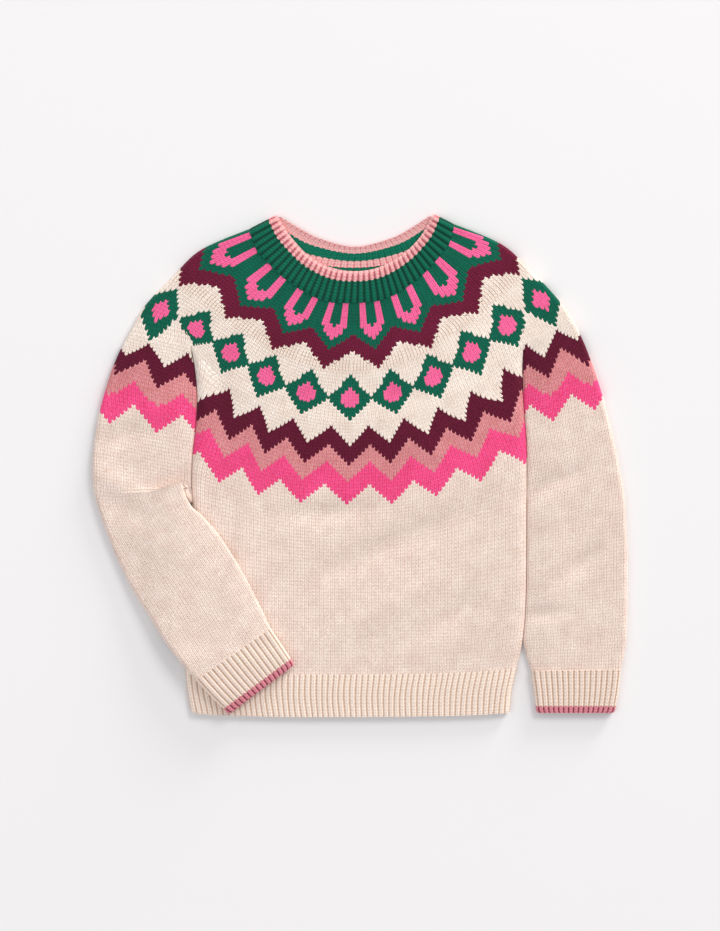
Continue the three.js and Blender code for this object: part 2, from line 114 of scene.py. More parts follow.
soft_light("window", (5.0, 5.4, 6.2), 4.0, 380, "#fffbf7")
soft_light("low_window", (4.3, 6.8, 1.46), 2.7, 520, "#fffaf5")
soft_light("fill", (-3.2, -1.0, 4.4), 4.0, 60, "#f7f9ff")

sky = bpy.data.worlds.new("sky")
bpy.context.scene.world = sky
sky.use_nodes = True
sky.node_tree.nodes.clear()
background = add(sky.node_tree, "Background", linear("#f7f7f8"), 0.63)
add(sky.node_tree, "OutputWorld", background)

table_mesh = bmesh.new()
bmesh.ops.create_grid(table_mesh, x_segments=1, y_segments=1, size=6)
table_data = bpy.data.meshes.new("table")
table_mesh.to_mesh(table_data)
table_mesh.free()
for vertex in table_data.vertices:
    vertex.co.z = -0.0002
table = bpy.data.objects.new("table", table_data)
bpy.context.scene.collection.objects.link(table)

paper = bpy.data.materials.new("matt_paper")
paper.use_nodes = True
paper.node_tree.nodes.clear()
sheet = add(paper.node_tree, "BsdfDiffuse", linear("#ebeaeb"), 0.0)
add(paper.node_tree, "OutputMaterial", sheet)
table_data.materials.append(paper)

# %% [markdown]
# The garment is measured in rounds, as it is knitted. Each round of the body has its course number
# counted from the neckband, the pattern repeats at its two edges, and seven points across the
# front. A sleeve has a section for each round: its free edge, its edge beside the body, and the
# course and repeat at both. These are the same sizes that the solids are built on, in millimetres.

# %% The rounds of the body and the sections of the sleeves
SLEEVE_STITCH = 3.25
COURSE = 3.15
REPEAT = 12
ROUNDS = [
    ("neck base", 0, -4.4, 4.4,
     [(-98.9, 205), (-71, 178.1), (-37.4, 158.9), (-5.8, 156), (26.9, 160.8), (60, 182.9), (85.4, 211.7)]),
    ("loop tips", 12, -4.4, 4.4,
     [(-136.3, 182.9), (-95, 149.8), (-52.8, 127.2), (-6.7, 118.1), (37, 128.2), (79.7, 152.6), (118.1, 192.5)]),
    ("first zigzag", 20, -4.4, 4.4,
     [(-158.4, 165.6), (-113.8, 133), (-64.3, 103.7), (-8.6, 92.6), (48, 104.6), (98.4, 136.3), (141.1, 174.2)]),
    ("diamonds", 29, -4.4, 4.4,
     [(-170.9, 138.7), (-123.8, 108), (-71.5, 76.3), (-9.6, 63.8), (50.9, 75.4), (106.6, 108), (154.6, 144.5)]),
    ("fold start", 36, -4.45, 4.5,
     [(-162.2, 115.7), (-122.9, 78.2), (-71, 52.3), (-9.6, 41.8), (49, 52.3), (103.7, 76.3), (156.5, 115.7)]),
    ("second zigzag", 43, -4.0, 4.57,
     [(-156.5, 61.9), (-120.5, 47), (-70.1, 27.4), (-9.6, 19.7), (47, 26.9), (100.8, 43.7), (156.5, 74.4)]),
    ("last zigzag", 57.7, -3.56, 4.08,
     [(-161.3, 4.3), (-133.4, -5.3), (-77.8, -22.6), (-12.5, -27.4), (51.8, -24), (115.2, -4.3), (160.3, 15.8)]),
    ("armpit", 70.3, -3.57, 4.12,
     [(-161.8, -42.7), (-138.2, -48.5), (-76.8, -61.9), (-12.5, -66.7), (50.9, -62.9), (113.3, -49.4), (160.3, -37.9)]),
    ("waist", 90.6, -3.57, 4.12,
     [(-165.1, -129.1), (-141.1, -128.2), (-76.8, -130.1), (-12.5, -131), (50.9, -130.1), (113.3, -128.2),
      (159.8, -121.4)]),
    ("above hem", 104.2, -3.57, 4.12,
     [(-168.5, -167.5), (-142.1, -170.4), (-76.8, -173.3), (-12.5, -174.2), (50.9, -173.3), (111.4, -171.4),
      (156.5, -167.5)]),
    ("hem seam", 112.6, -3.57, 4.12,
     [(-168, -194.4), (-142.1, -197.3), (-76.8, -200.2), (-12.5, -200.6), (50.9, -200.2), (109.4, -198.2),
      (150.7, -194.4)]),
    ("hem middle", 119.3, -3.57, 4.12,
     [(-166.1, -215.5), (-140.2, -218.4), (-75.8, -221.3), (-11.5, -221.8), (49.9, -221.3), (106.6, -219.8),
      (145.9, -217.4)]),
    ("hem edge", 125.6, -3.57, 4.12,
     [(-162.2, -237.6), (-137.3, -239.5), (-74.9, -241.4), (-11.5, -241.4), (49, -241), (103.7, -240),
      (144, -237.6)]),
]
REPEATS_BETWEEN = (-3, -1.5, 0, 1.5, 3)
FOLD_START = 4
HEM_SEAM = 10
HEM_EDGE = 12
BACK_CENTRE = (181, 140, 113, 83, 59, 36, -14, -56, -125, -171, -200.2, -221.4, -241)

# name, outer x and y, inner x and y (None: on the body's edge), courses in and out,
# repeats in and out, and the repeat that the underside ends at
BENT_SLEEVE = [
    ("neck base", -107.5, 227, None, None, 0, 0, 4.4, 5.4, 6.6),
    ("loop tips", -153.6, 206.9, None, None, 12, 12, 4.4, 5.3, 6.6),
    ("first zigzag", -180.5, 181, None, None, 20, 20, 4.4, 5.1, 6.6),
    ("diamonds", -205.4, 155, None, None, 29, 29, 4.4, 5.42, 6.6),
    ("fold start", -223.7, 124.3, None, None, 34.5, 36, 4.42, 6.05, 7.4),
    ("second zigzag", -235.2, 100.3, None, 95.5, 39.8, 45.8, 4.3, 6.2, 8),
    ("yarn change", -242.9, 78.2, None, 72.5, 46.7, 51.3, 4.2, 6.05, 8),
    ("last zigzag", -251.5, 46.6, None, 38.9, 56.7, 59.8, 4.2, 6.25, 8),
    ("upper arm", -256.3, 16.8, None, 10.1, 65, 68.4, 4.15, 6.3, 8),
    ("above armpit", -257.3, -4.3, None, -9.1, 70.8, 74.8, 4.15, 6.3, 8),
    ("armpit", -256.3, -21.6, None, -20.6, 74.5, 80, 4.15, 6.3, 8),
    ("crease", -252.5, -37.9, -169, -23.5, 77, 84.5, 4.15, 6.3, 8),
    ("elbow", -243.8, -63.8, -161.3, -38.9, 81.5, 93.5, 4.15, 6.3, 8),
    ("below elbow", -234.2, -87.8, -151.7, -47.5, 86.5, 101.5, 4.15, 6.3, 8),
    ("upper forearm", -219.8, -117.6, -137.3, -63.8, 93.4, 112, 4.15, 6.3, 8),
    ("mid forearm", -201.6, -146.4, -121, -87.8, 102.5, 123, 4.15, 6.3, 8),
    ("lower forearm", -184.3, -173.3, -105.6, -114.7, 112.5, 133.5, 4.15, 6.3, 8),
    ("cuff seam", -157.4, -205.9, -85.4, -156, 126.5, 147.5, 4.15, 6.3, 8),
]
BENT_CUFF = [
    ("cuff seam", -157.4, -205.9, -85.4, -156),
    ("cuff middle", -142, -222.6, -73.6, -173.6),
    ("cuff edge", -125.8, -238.6, -62.4, -190.6),
]
STRAIGHT_SLEEVE = [
    ("neck base", 91.2, 231.8, None, None, 0, 0, 4.4, 5.4, 6.6),
    ("loop tips", 134.4, 213.6, None, None, 12, 12, 4.4, 5.25, 6.6),
    ("first zigzag", 158.4, 193.4, None, None, 20, 20, 4.4, 5.12, 6.6),
    ("diamonds", 185.3, 165.6, None, None, 29, 29, 4.4, 5.36, 6.6),
    ("fold start", 202.6, 143.5, None, None, 36.6, 35, 4.4, 6.0, 7.4),
    ("second zigzag", 215, 118.6, None, 89.8, 44.1, 44.1, 4.35, 6.15, 8),
    ("yarn change", 224.6, 93.6, None, 70.6, 50.8, 49.5, 4.35, 6.12, 8),
    ("last zigzag", 234.2, 62.9, None, 43.7, 58.4, 58.8, 4.35, 6.25, 8),
    ("upper arm", 243.8, 24.5, None, 14.9, 67.2, 70.9, 4.35, 6.3, 8),
    ("above armpit", 250.6, -9.1, None, -13.9, 76.3, 81.5, 4.35, 6.3, 8),
    ("armpit", 254.4, -33.1, None, -33.1, 82.4, 89, 4.35, 6.3, 8),
    ("elbow", 257.1, -85.9, None, -85.9, 101, 105.5, 4.35, 6.3, 8),
    ("upper forearm", 257, -129.1, None, -129.1, 116, 119, 4.35, 6.3, 8),
    ("mid forearm", 256.3, -159.8, None, -159.8, 126.5, 129, 4.35, 6.3, 8),
    ("above cuff", 254.4, -179, 159.4, -180, 134, 135, 4.35, 6.3, 8),
    ("cuff seam", 251, -196.3, 164.2, -197.3, 140, 140.5, 4.35, 6.3, 8),
]
STRAIGHT_CUFF = [
    ("cuff seam", 251, -196.3, 164.2, -197.3),
    ("cuff middle", 248.6, -217.4, 167, -217.4),
    ("cuff edge", 244.8, -237.6, 169.4, -237.6),
]
BAND_FRONT_TOP = [(-79.7, 241.3), (-68.2, 222.2), (-49.9, 202.1), (-28.8, 190.6), (-6.7, 186.7),
                  (15.4, 189.6), (38.4, 201.1), (57.6, 219.4), (70.1, 242.3)]
BAND_BACK_TOP = [(-79.7, 241.3), (-57.6, 228), (-38.4, 218.4), (-4.8, 210.7), (28.8, 218.4),
                 (48, 228), (70.1, 242.3)]
BACK_NECK = [(-98.9, 205), (-72, 189.6), (-38.4, 182.9), (-4.8, 181), (28.8, 183.8),
             (61.4, 194.4), (85.4, 211.7)]

# Soft folds: x, y, direction in degrees, length, width, height
FOLDS = [
    (-128, -30, 62, 90, 11, 0.5), (-98, -84, 40, 70, 14, -0.6), (132, -20, 104, 110, 12, 0.5),
    (96, -120, 78, 120, 16, -0.6), (20, -150, 8, 130, 12, 0.4), (-205, 40, 80, 80, 13, 0.6),
    (208, -60, 92, 110, 14, -0.6), (190, 60, 60, 70, 12, 0.5),
]
# Smaller creases that only the dressed cloth has, in the same columns
CREASES = [
    (-32, -45, 5, 90, 10, -2.8), (24, -79, 24, 150, 12, -3.4), (38, -129, 30, 120, 14, 2.1),
    (88, -143, 35, 60, 9, -2.8), (187, -16, 25, 60, 8, -2.5), (211, -96, 40, 50, 8, -2.5),
    (178, -142, 5, 50, 7, -1.9), (-221, 30, 15, 60, 11, -2.5), (-234, -18, 150, 60, 12, 2.4),
    (-115, -80, 80, 110, 9, 1.6), (60, 20, 150, 70, 9, 0.9), (-214, -66, 150, 80, 15, 1.4),
    (-70, 62, 20, 60, 8, -1.0), (30, 70, -15, 60, 8, -0.9), (232, 60, 60, 60, 8, 1.0),
]

# %% [markdown]
# A round is a smooth curve through its points, and so is each edge from round to round. The same
# interpolation serves the pattern's repeats and courses, so the pattern is carried by the cloth.

# %% Curves and heights


def mix(a, b, t):
    return a + (b - a) * t


def smooth(t):
    t = min(max(t, 0.0), 1.0)
    return t * t * (3 - 2 * t)


def spline(points, place):
    """A smooth curve through evenly numbered points, at a place between 0 and the last number."""
    points = np.asarray(points, float)
    last = len(points) - 1
    k = min(int(place), last - 1) if last else 0
    t = place - k
    p0, p1, p2, p3 = (points[min(max(k + step, 0), last)] for step in (-1, 0, 1, 2))
    v0, v1 = (p2 - p0) / 2, (p3 - p1) / 2
    return (2 * p1 - 2 * p2 + v0 + v1) * t ** 3 + (3 * p2 - 3 * p1 - 2 * v0 - v1) * t ** 2 + v0 * t + p1


def dense(points, steps=16):
    last = len(points) - 1
    return np.array([spline(points, k / steps) for k in range(last * steps + 1)])


def by_length(line, shares):
    """Points of a fine polyline at shares of its length in plan."""
    steps = np.hypot(*np.diff(line[:, :2], axis=0).T)
    walked = np.concatenate([[0], np.cumsum(steps)])
    at = np.asarray(shares) * walked[-1]
    return np.array([np.interp(at, walked, column) for column in line.T]).T, walked[-1]


columns = [np.array([row[4][k] for row in ROUNDS]) for k in range(7)]
courses = np.array([[row[1]] for row in ROUNDS])
edge_repeats = np.array([[row[2], row[3]] for row in ROUNDS])


def body_curve(place):
    """The round at a place, as rows of x, y and repeat across the front."""
    ends = spline(edge_repeats, place)
    repeats = [ends[0], *REPEATS_BETWEEN, ends[1]]
    points = [(*spline(column, place), a) for column, a in zip(columns, repeats)]
    return dense(points)


DIAMOND_CENTRE = 29
ZIGZAG_TOP = 43
INCREASE_ROUND = 36.5
ZIGZAG_FAN = 0.023
DIAMOND_FAN = 0.0179
UPPER_FAN = 0.0055
FAN_FULL = 3


def fans(repeat, course):
    """The yoke gains stitches on its way down, so the zigzags count more repeats than the
    diamonds. Gives the repeat at a spot by the zigzags' count and by the diamonds'."""
    above = ZIGZAG_TOP - course
    if course < INCREASE_ROUND:
        above = (ZIGZAG_TOP - INCREASE_ROUND) * smooth((course - 22) / (INCREASE_ROUND - 22))
    tucked = smooth((-repeat - 3.3) / 0.9)
    by_zigzags = repeat * (1 + ZIGZAG_FAN * max(0.0, above) * (1 - tucked))
    below = course - DIAMOND_CENTRE
    full = min(1.0, FAN_FULL / max(abs(repeat), 1e-6))
    by_diamonds = repeat * (1 - (DIAMOND_FAN * full if below > 0 else UPPER_FAN) * below)
    return by_zigzags, by_diamonds


def body_edge(side, place):
    return spline(columns[0 if side < 0 else 6], place)


edge_lines = {side: np.array([body_edge(side, k / 8) for k in range(HEM_SEAM * 8 + 1)]) for side in (-1, 1)}


def edge_at(side, y):
    line = edge_lines[side][FOLD_START * 8:]
    return float(np.interp(-y, -line[:, 1], line[:, 0]))


def fold_height(x, y):
    height = 0.0
    for fx, fy, turn, length, width, rise in FOLDS + CREASES:
        c, s = math.cos(math.radians(turn)), math.sin(math.radians(turn))
        along = (x - fx) * c + (y - fy) * s
        aside = (y - fy) * c - (x - fx) * s
        height += rise * math.exp(-(2 * along / length) ** 2 - (aside / width) ** 2)
    return height


HEM_DROOP = 1.6
EDGE_ROLL = 10.0
EDGE_FOOT = 3.0


def front_top(x, y):
    return LIE + fold_height(x, y) - HEM_DROOP * smooth((-205 - y) / 36)


def rolled_top(top, distance, roll):
    share = min(distance / EDGE_ROLL, 1)
    rolled = EDGE_FOOT + (top - EDGE_FOOT) * math.sqrt(1 - (1 - share) ** 2)
    return mix(top, rolled, roll)


# %% [markdown]
# Every shell starts as one grid of vertices from a bmesh operator. A list of rows says where each
# vertex goes and which stitch of the chart it is, and a wrapped grid is welded along its side. Two
# UV maps carry the knitting: "chart" holds the pattern repeat and course, "stitch" the real count
# of stitches and rows. The wall is then given its thickness by a Solidify modifier.

# %% A knitted shell from a grid


def knitted_shell(name, rows, thickness, material, lining=None):
    high, wide = len(rows), len(rows[0])
    grid = bmesh.new()
    bmesh.ops.create_grid(grid, x_segments=wide - 1, y_segments=high - 1, size=1)
    chart = grid.loops.layers.uv.new("chart")
    stitch = grid.loops.layers.uv.new("stitch")
    yoke = grid.loops.layers.uv.new("yoke") if len(rows[0][0]) > 7 else None
    place = {}
    for vertex in grid.verts:
        j = round((vertex.co.x + 1) / 2 * (wide - 1))
        i = round((1 - vertex.co.y) / 2 * (high - 1))
        place[vertex] = rows[i][j]
    for face in grid.faces:
        for loop in face.loops:
            spot = place[loop.vert]
            loop[chart].uv = spot[3:5]
            loop[stitch].uv = spot[5:7]
            if yoke is not None:
                loop[yoke].uv = (spot[7], spot[4])
    for vertex, spot in place.items():
        vertex.co = [value * MM for value in spot[:3]]
    bmesh.ops.remove_doubles(grid, verts=grid.verts, dist=0.01 * MM)
    for face in grid.faces:
        face.smooth = True
    for edge in grid.edges:
        edge.smooth = not edge.is_boundary
    mesh = bpy.data.meshes.new(name)
    grid.to_mesh(mesh)
    grid.free()
    mesh.materials.append(material)
    if lining is not None:
        mesh.materials.append(lining)
    piece = bpy.data.objects.new(name, mesh)
    bpy.context.scene.collection.objects.link(piece)
    wall = piece.modifiers.new("wall", "SOLIDIFY")
    wall.thickness = thickness * MM
    wall.offset = -1.0
    wall.use_quality_normals = True
    wall.material_offset = 0 if lining is None else 1
    area = sum(polygon.area for polygon in mesh.polygons)
    print(f"{name}: {wide} by {high} vertices, {area * 1e4:.0f} square cm of cloth")
    return piece


# %% [markdown]
# Stockinette knit is columns of V stitches. The two legs of a V rise from the middle of the stitch,
# so a course runs in chevrons and each colour change shows small teeth. Here the height of the
# yarn is worked out in stitch units, drives the bump and paints shade into the hollows between
# stitches, and the chart is looked up once for each stitch, so the colours change stitch by stitch
# as in real stranded knit.

# %% The knit material
CREAM, CREAM_DEEP, CREAM_PINK = "#fdf3ea", "#f2ded3", "#fff1e9"
GREEN = "#006650"
BURGUNDY, BURGUNDY_DEEP = "#6f1639", "#560c29"
DUSTY, DUSTY_PALE = "#da7b89", "#eba9a9"
NEON, NEON_DEEP = "#ff67a4", "#ff3c82"
ROSE = "#ff6ea9"
CHEVRON = 0.85


def steps_of(ramp, stops):
    """Sets a colour ramp to hard steps: pairs of a start and a hex colour."""
    ramp.color_ramp.interpolation = "CONSTANT"
    for _ in range(len(stops) - 2):
        ramp.color_ramp.elements.new(0.5)
    for element, (start, colour) in zip(ramp.color_ramp.elements, stops):
        element.position = start
        element.color = linear(colour)


def math_node(tree, operation, *values):
    return add(tree, "Math", *values, operation=operation)


def new_material(name):
    material = bpy.data.materials.new(name)
    material.use_nodes = True
    material.node_tree.nodes.clear()
    return material, material.node_tree


def yarn_finish(tree, colour, height, relief, roughness=0.9):
    """Wool: matt, with a soft sheen of fine fibres, and the stitch's height as bump."""
    bump = add(tree, "Bump", 1.0, relief * MM, 0.1)
    for socket in bump.inputs:
        if socket.name == "Height":
            tree.links.new(height.outputs[0], socket)
        elif socket.name == "Strength":
            socket.default_value = 1.0
        elif socket.name == "Distance":
            socket.default_value = relief * MM
    wool = add(tree, "BsdfPrincipled")
    tree.links.new(colour.outputs[0], wool.inputs["Base Color"])
    tree.links.new(bump.outputs[0], wool.inputs["Normal"])
    wool.inputs["Roughness"].default_value = roughness
    wool.inputs["Specular IOR Level"].default_value = 0.15
    wool.inputs["Sheen Weight"].default_value = 0.05
    wool.inputs["Sheen Roughness"].default_value = 0.6
    add(tree, "OutputMaterial", wool)


def stitch_height(tree, wale, row):
    """Distance across the stitch, distance along the leg, and the height of the yarn."""
    across = math_node(tree, "SUBTRACT", math_node(tree, "FRACT", wale), 0.5)
    aside = math_node(tree, "ABSOLUTE", across)
    chevron = math_node(tree, "ADD", row, math_node(tree, "MULTIPLY", aside, CHEVRON))
    along = math_node(tree, "SUBTRACT", math_node(tree, "FRACT", chevron), 0.5)
    leg = math_node(tree, "SINE", math_node(tree, "MULTIPLY_ADD", aside, 1.66 * math.pi, 0.14 * math.pi))
    turn = math_node(tree, "COSINE", math_node(tree, "MULTIPLY", along, math.pi))
    turn = math_node(tree, "MULTIPLY_ADD", turn, 0.5, 0.5)
    height = math_node(tree, "MULTIPLY", leg, turn)
    return across, aside, along, height


def fleck_share(tree, scale, amount):
    """Where the second of two spun shades shows, as fine flecks."""
    where = add(tree, "TexCoord")
    flecks = add(tree, "TexNoise", where.outputs["Object"])
    flecks.inputs["Scale"].default_value = scale
    flecks.inputs["Detail"].default_value = 3.0
    return add(tree, "MapRange", flecks.outputs[0], 0.5 - amount, 0.5 + amount, 0.0, 1.0)


def marl(tree, base, other, scale, amount):
    return add(tree, "MixRGB", fleck_share(tree, scale, amount), base, other)


def yoke_material():
    material, tree = new_material("stranded_wool_stockinette")
    chart = add(tree, "SeparateXYZ", add(tree, "UVMap", uv_map="chart"))
    count = add(tree, "SeparateXYZ", add(tree, "UVMap", uv_map="stitch"))
    yoke = add(tree, "SeparateXYZ", add(tree, "UVMap", uv_map="yoke"))
    course = chart.outputs[1]
    in_diamonds = math_node(tree, "MULTIPLY", math_node(tree, "GREATER_THAN", course, 21.0),
                            math_node(tree, "LESS_THAN", course, INCREASE_ROUND))
    repeat = add(tree, "MixRGB", in_diamonds, chart.outputs[0], yoke.outputs[0])
    wale_plain, row = count.outputs[0], count.outputs[1]

    # Inner rounds have one loop motif for each 1.375 of the outer repeats, and fewer stitches
    inner_place = math_node(tree, "DIVIDE", chart.outputs[0], 1.375)
    loop_centre = math_node(tree, "ADD", math_node(tree, "FLOOR", inner_place), 0.5)
    from_loop = math_node(tree, "SUBTRACT", inner_place, loop_centre)
    after_loops = math_node(tree, "MAXIMUM", math_node(tree, "SUBTRACT", course, 11.0), 0.0)
    loop_stitches = math_node(tree, "MULTIPLY_ADD", after_loops, 0.38, 10.8)
    increased = math_node(tree, "GREATER_THAN", course, 15.5)
    loop_stitches = add(tree, "MixRGB", increased, loop_stitches, [1.375 * REPEAT] * 4)
    wale_inner = math_node(tree, "MULTIPLY", from_loop, loop_stitches)
    wale_outer = math_node(tree, "MULTIPLY", repeat, REPEAT)
    is_inner = math_node(tree, "LESS_THAN", course, 21.0)
    is_plain = math_node(tree, "GREATER_THAN", course, 61.5)
    wale = add(tree, "MixRGB", is_inner, wale_outer, wale_inner)
    wale = add(tree, "MixRGB", is_plain, wale, wale_plain)
    wale = math_node(tree, "ADD", wale, 0.5)
    across, aside, along, height = stitch_height(tree, wale, row)

    # The chart is read at the middle of each stitch
    drop = math_node(tree, "SUBTRACT", along, math_node(tree, "MULTIPLY", aside, CHEVRON))
    read_course = math_node(tree, "SUBTRACT", course, drop)
    read_repeat = math_node(tree, "SUBTRACT", repeat, math_node(tree, "DIVIDE", across, REPEAT))
    read_loop = math_node(tree, "ABSOLUTE", math_node(tree, "SUBTRACT", wale_inner, across))

    # Outer rounds: three zigzag bands with their low points at whole repeats
    near = math_node(tree, "PINGPONG", read_repeat, 0.5)
    wave = math_node(tree, "MULTIPLY_ADD", near, 4 * 2.9, -2.9)
    level = math_node(tree, "MULTIPLY", math_node(tree, "ADD", read_course, wave), 0.01)
    outer_bands = add(tree, "ValToRGB", level)
    steps_of(outer_bands, [(0.0, CREAM), (0.402, BURGUNDY), (0.4605, DUSTY), (0.515, NEON), (0.576, CREAM_PINK)])
    shaded_bands = add(tree, "ValToRGB", level)
    steps_of(shaded_bands, [(0.0, CREAM), (0.402, BURGUNDY_DEEP), (0.4605, DUSTY_PALE), (0.515, NEON_DEEP),
                            (0.576, CREAM_DEEP)])
    outer_bands = add(tree, "MixRGB", fleck_share(tree, 1100, 0.1), outer_bands, shaded_bands)
    # Diamonds, green round pink
    from_middle = math_node(tree, "ABSOLUTE", math_node(tree, "SUBTRACT", read_course, 29.0))
    big = math_node(tree, "MULTIPLY_ADD", from_middle, 1 / 6.7, math_node(tree, "MULTIPLY", near, 2.0))
    heart = math_node(tree, "MULTIPLY_ADD", near, REPEAT, from_middle)
    small = math_node(tree, "MULTIPLY", math_node(tree, "LESS_THAN", heart, 3.3),
                      math_node(tree, "LESS_THAN", near, 2.7 / REPEAT))
    small = math_node(tree, "MULTIPLY", small, math_node(tree, "LESS_THAN", from_middle, 3.0))
    colour = add(tree, "MixRGB", math_node(tree, "LESS_THAN", big, 1.04), outer_bands, linear(GREEN))
    colour = add(tree, "MixRGB", small, colour, linear(ROSE))

    # Inner rounds: green ground, a zigzag, and loops with two legs and a pointed foot
    read_after = math_node(tree, "MAXIMUM", math_node(tree, "SUBTRACT", read_course, 11.0), 0.0)
    read_stitches = math_node(tree, "MULTIPLY_ADD", read_after, 0.38, 10.8)
    read_stitches = add(tree, "MixRGB", increased, read_stitches, [1.375 * REPEAT] * 4)
    share = math_node(tree, "DIVIDE", read_loop, read_stitches)
    inner_wave = math_node(tree, "MULTIPLY_ADD", share, 4 * 3.0, -3.0)
    inner_level = math_node(tree, "MULTIPLY", math_node(tree, "ADD", read_course, inner_wave), 0.01)
    inner_bands = add(tree, "ValToRGB", inner_level)
    steps_of(inner_bands, [(0.0, GREEN), (0.12, BURGUNDY), (0.173, CREAM)])
    taper = add(tree, "MapRange", read_course, 7.9, 11.7, 3.3, 0.3)
    in_loop = math_node(tree, "LESS_THAN", read_loop, taper)
    in_loop = math_node(tree, "MULTIPLY", in_loop, math_node(tree, "LESS_THAN", read_course, 11.7))
    hole_end = math_node(tree, "MULTIPLY_ADD", read_loop, -0.9, 7.7)
    hole = math_node(tree, "MULTIPLY", math_node(tree, "LESS_THAN", read_loop, 1.25),
                     math_node(tree, "LESS_THAN", read_course, hole_end))
    in_loop = math_node(tree, "MULTIPLY", in_loop, math_node(tree, "SUBTRACT", 1.0, hole))
    inner_colour = add(tree, "MixRGB", in_loop, inner_bands, linear(ROSE))
    colour = add(tree, "MixRGB", is_inner, colour, inner_colour)

    # Marl: the cream and the dusty pink are spun from two shades, the others vary a little
    fleck = marl(tree, [1, 1, 1, 1], linear("#efe6df"), 900, 0.12)
    colour = add(tree, "MixRGB", 1.0, colour, fleck, blend_type="MULTIPLY")
    # Painted shade in the hollows between stitches, and a little painted light on the legs
    painted_hollow_shade = add(tree, "MapRange", height, 0.0, 0.8, 0.86, 1.07)
    colour = add(tree, "MixRGB", 1.0, colour, painted_hollow_shade, blend_type="MULTIPLY")
    # Painted shade: tan strokes between the columns where the yoke gains stitches and draws them in
    painted_gather_shade = add(tree, "MapRange", math_node(tree, "ABSOLUTE", math_node(tree, "SUBTRACT", course, 19.0)),
                  1.2, 3.0, 0.6, 0.0)
    painted_gather_shade = math_node(tree, "MULTIPLY", painted_gather_shade, add(tree, "MapRange", aside, 0.28, 0.44, 0.0, 1.0))
    colour = add(tree, "MixRGB", painted_gather_shade, colour, linear("#d6b49b"), blend_type="MULTIPLY")
    cloudy = marl(tree, [1, 1, 1, 1], linear("#f3eeec"), 70, 0.2)
    colour = add(tree, "MixRGB", 1.0, colour, cloudy, blend_type="MULTIPLY")
    yarn_finish(tree, colour, height, 0.7)
    return material


yoke_knit = yoke_material()

# %% [markdown]
# The front is one panel from the neckband to the hem. Above the fold it lies flush with the
# sleeves, because the yoke is knitted round without a seam, and below the fold its sides roll down
# to the back. Its rows follow the knitted rounds, so the UV maps are simply the table's counts.

# %% Front
SEAM_GAP = 0.02
FOLD_GAP = 0.3
KNIT_WALL = 1.6


def roll_at(place):
    return smooth((place - FOLD_START) / 0.6)


def gap_at(place):
    return (SEAM_GAP if place <= FOLD_START else mix(SEAM_GAP, FOLD_GAP, smooth((place - FOLD_START) * 2))) / 2


def side_distances(width, count):
    near = [0, 0.3, 0.7, 1.3, 2.2, 3.3, 4.8, 6.4, 8.2, EDGE_ROLL]
    middle = [mix(EDGE_ROLL, width - EDGE_ROLL, k / count) for k in range(1, count)]
    return near + middle + [width - d for d in reversed(near)]


def body_row(place, row_count, count=120):
    line = body_curve(place)
    width = by_length(line, [0])[1]
    roll, gap, course = roll_at(place), gap_at(place), float(spline(courses, place)[0])
    distances = side_distances(width, count)
    shares = [mix(gap, width - gap, d / width) / width for d in distances]
    spots, _ = by_length(line, shares)
    row = []
    for (x, y, repeat), distance in zip(spots, distances):
        z = rolled_top(front_top(x, y), min(distance, width - distance), roll)
        by_zigzags, by_diamonds = fans(repeat, course)
        row.append((x, y, z, by_zigzags, course, repeat * REPEAT, row_count, by_diamonds))
    return row


def walked_rows(make_row, places, spacing):
    """Rows with their count of courses by the length that the middle of the piece has walked."""
    rows, count, before = [], 0.0, None
    for place in places:
        row = make_row(place, count)
        middle = np.array(row[len(row) // 2][:2])
        if before is not None:
            count += float(np.hypot(*(middle - before))) / spacing
        before = middle
        rows.append([(*spot[:6], count, *spot[7:]) for spot in row])
    return rows


front_places = [HEM_SEAM * k / 170 for k in range(171)]
front = knitted_shell("front_knit", walked_rows(body_row, front_places, COURSE), KNIT_WALL, yoke_knit)

# %% [markdown]
# The back is the same knit, flat on the table, with its neck cut higher.

# %% Back


def back_row(place, row_count, count=110):
    left, right = body_edge(-1, place), body_edge(1, place)
    width = float(np.hypot(*(right - left)))
    neck_sag = BACK_CENTRE[0] - (ROUNDS[0][4][0][1] + ROUNDS[0][4][6][1]) / 2
    centre = float(spline(np.array(BACK_CENTRE, float)[:, None], place)[0])
    scale = (centre - (left[1] + right[1]) / 2) / neck_sag
    gap = gap_at(place)
    shares = [mix(gap / width, 1 - gap / width, k / count) for k in range(count + 1)]
    neck, _ = by_length(dense(BACK_NECK), shares)
    ends = spline(edge_repeats, place)
    course = float(spline(courses, place)[0])
    row = []
    for share, curve in zip(shares, neck):
        chord = mix(np.array(BACK_NECK[0]), np.array(BACK_NECK[-1]), share)
        sag = (curve[1] - chord[1]) * scale
        x, y = mix(left, right, share)
        x += (curve[0] - chord[0]) * max(0.0, 1 - place / FOLD_START)
        repeat = mix(ends[0], ends[1], share)
        by_zigzags, by_diamonds = fans(repeat, course)
        row.append((x, y + sag, 0.0, by_zigzags, course, repeat * REPEAT, row_count, by_diamonds))
    return row


def flipped(rows):
    return [list(reversed(row)) for row in rows]


back_places = [HEM_SEAM * k / 120 for k in range(121)]
back = knitted_shell("back_knit", flipped(walked_rows(back_row, back_places, COURSE)), KNIT_WALL, yoke_knit)

# %% [markdown]
# A sleeve is a flattened tube. Above the fold it is still part of the yoke, so the tube is open
# along the body. Below, it closes, and one sleeve bends at the elbow: its forearm is lifted over
# the body and leaves a crease where the cloth folds on itself.

# %% Sleeves
TUBE_RADIUS = 4.0
SLEEVE_DIP = 1.9
ELBOW_REACH = 38.0
DIP_WIDTH = 15.0
ELBOW = 10
ELBOW_TURN = 0.45
ELBOW_DENT = 2.4
HIDDEN_COURSES = 21
DRAPE_REACH = 44.0
DRAPE_EDGE = 5.0
FULL_REACH = 74.0
DRAPE_GAP = 0.4
HEM_RELIEF = 1.2


